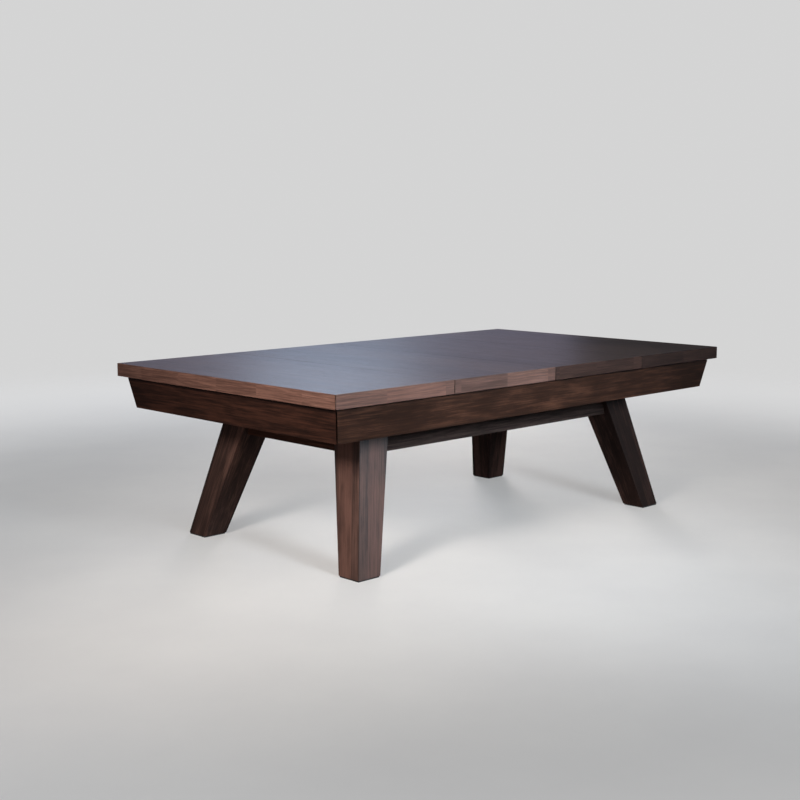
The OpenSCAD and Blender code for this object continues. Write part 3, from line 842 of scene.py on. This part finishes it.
def make_cushions():
    corner, side = POCKETS[0][:2], POCKETS[1][:2]

    def corner_end(u):
        run = -PLAY_X + CORNER_CUT - u / math.tan(CORNER_FACE)
        return clear_of_pocket(run, -PLAY_Y - u, corner, 1)

    def side_end(u):
        run = -SIDE_MOUTH / 2 + u / math.tan(SIDE_FACE)
        return clear_of_pocket(run, -PLAY_Y - u, side, -1)

    def across(u):
        run = -PLAY_Y + CORNER_CUT - u / math.tan(CORNER_FACE)
        return clear_of_pocket(run, -PLAY_X - u, (corner[1], corner[0]), 1)

    for k, sx, sy in ((1, 1, 1), (2, -1, 1), (4, -1, -1), (5, 1, -1)):
        cushion(
            k, (corner_end, side_end),
            lambda run, u, z, sx=sx, sy=sy: (sx * run, sy * (-PLAY_Y - u), z),
        )
    for k, sx in ((3, 1), (6, -1)):
        cushion(
            k, (across, lambda u: -across(u)),
            lambda run, u, z, sx=sx: (sx * (PLAY_X + u), run, z),
        )


def pocket_outline(low_z, high_z):
    """The cup's wall in section, from its middle underneath round the lip to its middle inside."""
    bend, inner_bend, lip = 8 * MM, 6 * MM, 2.5 * MM
    wall = CUP_R - CUP_WALL
    points = [(0.0, low_z)] + arc(CUP_R - bend, low_z + bend, bend, 270, 360, 5)
    points += [(CUP_R, low_z + (high_z - low_z) * t) for t in (0.3, 0.5, 0.69, 0.72, 0.9)]
    points += [(CUP_R, high_z - lip - 0.5 * MM), (CUP_R + 0.5 * MM, high_z - lip)]
    points += arc(LIP_R - lip / 2, high_z - lip / 2, lip / 2, 270, 450, 6)
    points += arc(wall + 2 * MM, high_z - 2 * MM, 2 * MM, 90, 180, 4)
    points += [(wall, low_z + (high_z - low_z) * t) for t in (0.9, 0.72, 0.69, 0.5, 0.3)]
    floor_z = low_z + CUP_WALL
    points += arc(wall - inner_bend, floor_z + inner_bend, inner_bend, 360, 270, 4)
    return points + [(0.0, floor_z)]


# the cup's low side: how far its edge lies under the bed and past the pocket's middle
CUT_UNDER, CUT_EASE, CUT_PAST_MIDDLE = 0.5 * MM, 0.8 * MM, 8 * MM
STITCH = (0.5 * MM, 2.3 * MM, 0.35 * MM)


def make_pocket(k, x, y, mouth):
    """A leather cup, cut down to the bed on the table's side, its back lip lying on the rails."""
    low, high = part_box(f"pocket_{k}")
    tall = pocket_outline(low[2], high[2])
    cut_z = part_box("slate_1")[1][2] - CUT_UNDER
    wall = CUP_R - CUP_WALL

    def cut_down(point):
        r, z = point
        if z <= cut_z - CUT_EASE:
            return point
        r = min(max(r, wall), CUP_R)
        edge = r in (wall, CUP_R)
        return r, cut_z - (CUT_EASE if edge else 0.0)

    short = [cut_down(p) for p in tall]
    half = math.degrees(math.acos(-CUT_PAST_MIDDLE / CUP_R))
    front, rear = 32, 44
    columns = [(-half + 2 * half * i / front, short) for i in range(front + 1)]
    columns += [(half + (360 - 2 * half) * i / rear, tall) for i in range(rear + 1)]
    verts = []
    for angle, outline in columns:
        a = math.radians(angle + mouth)
        verts += [(x + r * math.cos(a), y + r * math.sin(a), z) for r, z in outline]
    n, total = len(tall), len(columns)
    faces = []
    for c in range(total):
        a, b = c * n, ((c + 1) % total) * n
        faces += [[a + i, b + i, b + i + 1, a + i + 1] for i in range(n - 1)]
    name = f"pocket_leather_{k}"
    obj = piece(name, "table", leather, verts, faces, [f"pocket_{k}"])
    soften(obj, 45.0)

    # a row of stitches along the lip
    bm = bmesh.new()
    ring_r, count = (CUP_R + LIP_R) / 2 - 0.5 * MM, 23
    stitch_end = 6
    sweep = 360 - 2 * stitch_end - 2 * half
    for i in range(count):
        a = math.radians(half + stitch_end + sweep * i / (count - 1) + mouth)
        made = bmesh.ops.create_uvsphere(bm, u_segments=8, v_segments=6, radius=1.0)["verts"]
        bmesh.ops.scale(bm, verts=made, vec=STITCH)
        bmesh.ops.rotate(bm, verts=made, cent=(0, 0, 0), matrix=Matrix.Rotation(a, 3, "Z"))
        spot = (x + ring_r * math.cos(a), y + ring_r * math.sin(a), high[2])
        bmesh.ops.translate(bm, verts=made, vec=spot)
    mesh = bpy.data.meshes.new(f"pocket_stitches_{k}")
    bm.to_mesh(mesh)
    bm.free()
    mesh.materials.append(thread)
    stitches = bpy.data.objects.new(mesh.name, mesh)
    bpy.context.scene.collection.objects.link(stitches)
    for polygon in mesh.polygons:
        polygon.use_smooth = True
    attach(stitches, "table")


make_bed_cloth()
make_cushions()
for k, (x, y, mouth) in enumerate(POCKETS, 1):
    make_pocket(k, x, y, mouth)


# --------------------------------------------------------------------------------------
# CAD nodes that keep their own shape


def dress(node, material, width=0.0, segments=2):
    """Gives a node its finish, and eases its edges by that width."""
    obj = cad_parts[node]
    obj.data.materials.clear()
    obj.data.materials.append(material)
    if width:
        ease(obj, width, segments)


for node, material in (
    ("cabinet_front", wood_cab_x), ("cabinet_back", wood_cab_x),
    ("cabinet_left", wood_cab_end_shaded), ("cabinet_right", wood_cab_end_shaded),
    ("base_front", wood_base_x), ("base_back", wood_base_x),
    ("base_left", wood_base_y), ("base_right", wood_base_y),
):
    dress(node, material, 1.2 * MM)
for k in (1, 2, 4, 5):
    dress(f"rail_{k}", wood_rail_x, 1.0 * MM)
for k in (3, 6):
    dress(f"rail_{k}", wood_rail_y, 1.0 * MM)
for k, ((sx, sy), look) in enumerate(zip(LEG_SIDES, LEG_PAINTED_SHADE_SHINE_ROUGHNESS), 1):
    dress(f"leg_{k}", leg_finish(f"leg_wood_painted_shade_{k}", sx, sy, *look), 1.6 * MM, 3)
    dress(f"foot_{k}", rubber, 0.8 * MM)
for k in (1, 2, 3):
    dress(f"slate_{k}", slate_stone, 0.8 * MM)
for node, material in (
    ("slate_backing", plain_x), ("cross_beams", plain_y), ("long_beams", plain_x),
    ("corner_blocks", block_painted_shade), ("corner_braces", plain_x),
):
    dress(node, material, 1.5 * MM)
for node in ("rail_bolts", "cabinet_bolts", "leg_bolts", "slate_screws"):
    dress(node, zinc, 0.4 * MM)
dress("sights", pearl)


# --------------------------------------------------------------------------------------
# floor, light and camera


FLOOR_HALF, FLOOR_Z = 30.0, -0.5 * MM
FLOOR_GLOW = 0.62
PALE = (0.97, 0.97, 0.97)


def floor():
    """A pale floor that runs out into the pale surroundings, and can be seen through from below."""
    mesh = bpy.data.meshes.new("floor")
    r, z = FLOOR_HALF, FLOOR_Z
    mesh.from_pydata([(-r, -r, z), (r, -r, z), (r, r, z), (-r, r, z)], [], [[0, 1, 2, 3]])
    obj = bpy.data.objects.new("floor", mesh)
    bpy.context.scene.collection.objects.link(obj)
    shop = Shop("floor_pale")
    x, y, z = shop.xyz()
    mottle = shop.noise(shop.point(x, y, z), 1.5, 4.0, 0.6)
    colour = shop.ramp(mottle, (0.3, (0.35, 0.35, 0.35)), (0.7, (0.38, 0.38, 0.377)))
    distance = (x * x + y * y) ** 0.5
    glow = shop.ramp(mottle, (0.3, (0.40, 0.40, 0.40)), (0.7, (0.42, 0.42, 0.417)))
    shop.surface(
        Base_Color=colour,
        Roughness=0.75 + (mottle - 0.5) * 0.1,
        Specular_IOR_Level=0.2,
        Emission_Color=shop.blend(distance.ramp(1.6, 6.0), glow, PALE),
        Emission_Strength=FLOOR_GLOW,
    )
    away = distance.ramp(3.0, 9.0)
    from_below = shop.add("ShaderNodeNewGeometry", {}, {}, "Backfacing")
    away = away.most(from_below)
    solid = next(n for n in shop.tree.nodes if n.type == "BSDF_PRINCIPLED")
    clear = shop.tree.nodes.new("ShaderNodeBsdfTransparent")
    both = shop.tree.nodes.new("ShaderNodeMixShader")
    out = next(n for n in shop.tree.nodes if n.type == "OUTPUT_MATERIAL")
    shop.link(both, 0, away)
    shop.tree.links.new(solid.outputs[0], both.inputs[1])
    shop.tree.links.new(clear.outputs[0], both.inputs[2])
    shop.tree.links.new(both.outputs[0], out.inputs["Surface"])
    mesh.materials.append(shop.material)
    obj.visible_diffuse = False
    obj.visible_glossy = False
    obj.visible_shadow = False


def area_light(
    name, place, aim, size, power, colour, spread=180.0, lights_flat=True, mirrored=True,
):
    """A rectangular lamp. Not lights_flat: seen only in gloss. Not mirrored: never seen in gloss."""
    lamp = bpy.data.lights.new(name, "AREA")
    lamp.shape = "RECTANGLE"
    lamp.size, lamp.size_y = size
    lamp.energy = power
    lamp.color = colour
    lamp.spread = math.radians(spread)
    obj = bpy.data.objects.new(name, lamp)
    obj.visible_camera = False
    obj.visible_diffuse = lights_flat
    obj.visible_glossy = mirrored
    bpy.context.scene.collection.objects.link(obj)
    obj.location = place
    obj.rotation_euler = (Vector(aim) - Vector(place)).to_track_quat("-Z", "Y").to_euler()


def studio():
    """Pale surroundings for the eye, dim ones for reflections, and nine soft lamps."""
    world = bpy.data.worlds.new("studio")
    world.use_nodes = True
    tree = world.node_tree
    seen = tree.nodes.new("ShaderNodeLightPath")
    pale, dim = tree.nodes["Background"], tree.nodes.new("ShaderNodeBackground")
    pale.inputs[0].default_value, pale.inputs[1].default_value = (0.66, 0.66, 0.66, 1.0), 1.0
    dim.inputs[0].default_value, dim.inputs[1].default_value = (0.75, 0.82, 1.0, 1.0), 0.04
    choose = tree.nodes.new("ShaderNodeMixShader")
    tree.links.new(seen.outputs["Is Camera Ray"], choose.inputs[0])
    tree.links.new(dim.outputs[0], choose.inputs[1])
    tree.links.new(pale.outputs[0], choose.inputs[2])
    tree.links.new(choose.outputs[0], tree.nodes["World Output"].inputs["Surface"])
    bpy.context.scene.world = world
    bpy.context.scene.view_settings.view_transform = "Standard"
    # the two sides that face the camera
    area_light(
        "key_left", (-4.7, -1.5, 2.6), (-1.2, -0.55, 0.75), (1.0, 1.0),
        power=26.0, colour=(1.0, 0.92, 0.85), spread=52.0,
    )
    area_light(
        "key_near", (-1.0, -4.6, 2.2), (-0.2, -0.75, 0.75), (1.1, 1.1),
        power=28.0, colour=(0.86, 0.93, 1.0), spread=52.0,
    )
    # the sheen over the top
    area_light(
        "back_card", (3.6, 4.8, 2.0), (-0.6, -0.2, 0.8), (4.6, 1.4),
        power=12.5, colour=(0.74, 0.71, 1.0),
    )
    area_light(
        "back_spot", (3.5, 4.8, 3.5), (-1.3, -0.75, 0.8), (1.5, 1.3),
        power=30.0, colour=(0.57, 0.76, 1.0),
    )
    # the gloss on the long side
    area_light(
        "front_card", (3.4, -4.9, 1.35), (-0.9, -0.5, 0.6), (3.2, 1.7),
        power=40.0, colour=(0.86, 0.91, 1.0), lights_flat=False,
    )
    # low fills, for the legs, the back and the underside
    area_light(
        "low_left", (-3.9, -0.9, 0.3), (-0.9, 0.0, 0.5), (1.4, 0.4),
        power=3.0, colour=(1.0, 0.84, 0.76), spread=60.0,
    )
    area_light(
        "back_fill", (3.9, 4.0, 1.7), (0.8, 0.4, 0.5), (1.6, 1.2),
        power=30.0, colour=(1.0, 0.93, 0.88), spread=60.0, mirrored=False,
    )
    area_light(
        "floor_bounce", (0.0, 0.0, -2.5), (0.0, 0.0, 0.0), (5.0, 5.0),
        power=34.0, colour=(1.0, 0.86, 0.78), mirrored=False,
    )
    area_light(
        "overhead", (0.0, 0.0, 7.0), (0.0, 0.0, 0.0), (9.0, 9.0),
        power=200.0, colour=(1.0, 1.0, 1.0),
    )


# the camera looks down by CAMERA_DOWN degrees, and is turned CAMERA_TURN degrees to the right
CAMERA_PLACE = (-4.5557, -4.4196, 1.4818)
CAMERA_DOWN, CAMERA_TURN = 8.0048, 44.3456


def camera():
    data = bpy.data.cameras.new("camera")
    data.lens, data.sensor_width = 59.161, 36.0
    data.clip_end = 100.0
    obj = bpy.data.objects.new("camera", data)
    bpy.context.scene.collection.objects.link(obj)
    obj.location = CAMERA_PLACE
    obj.rotation_euler = (math.radians(90 - CAMERA_DOWN), 0.0, math.radians(-CAMERA_TURN))
    bpy.context.scene.camera = obj


floor()
studio()
camera()
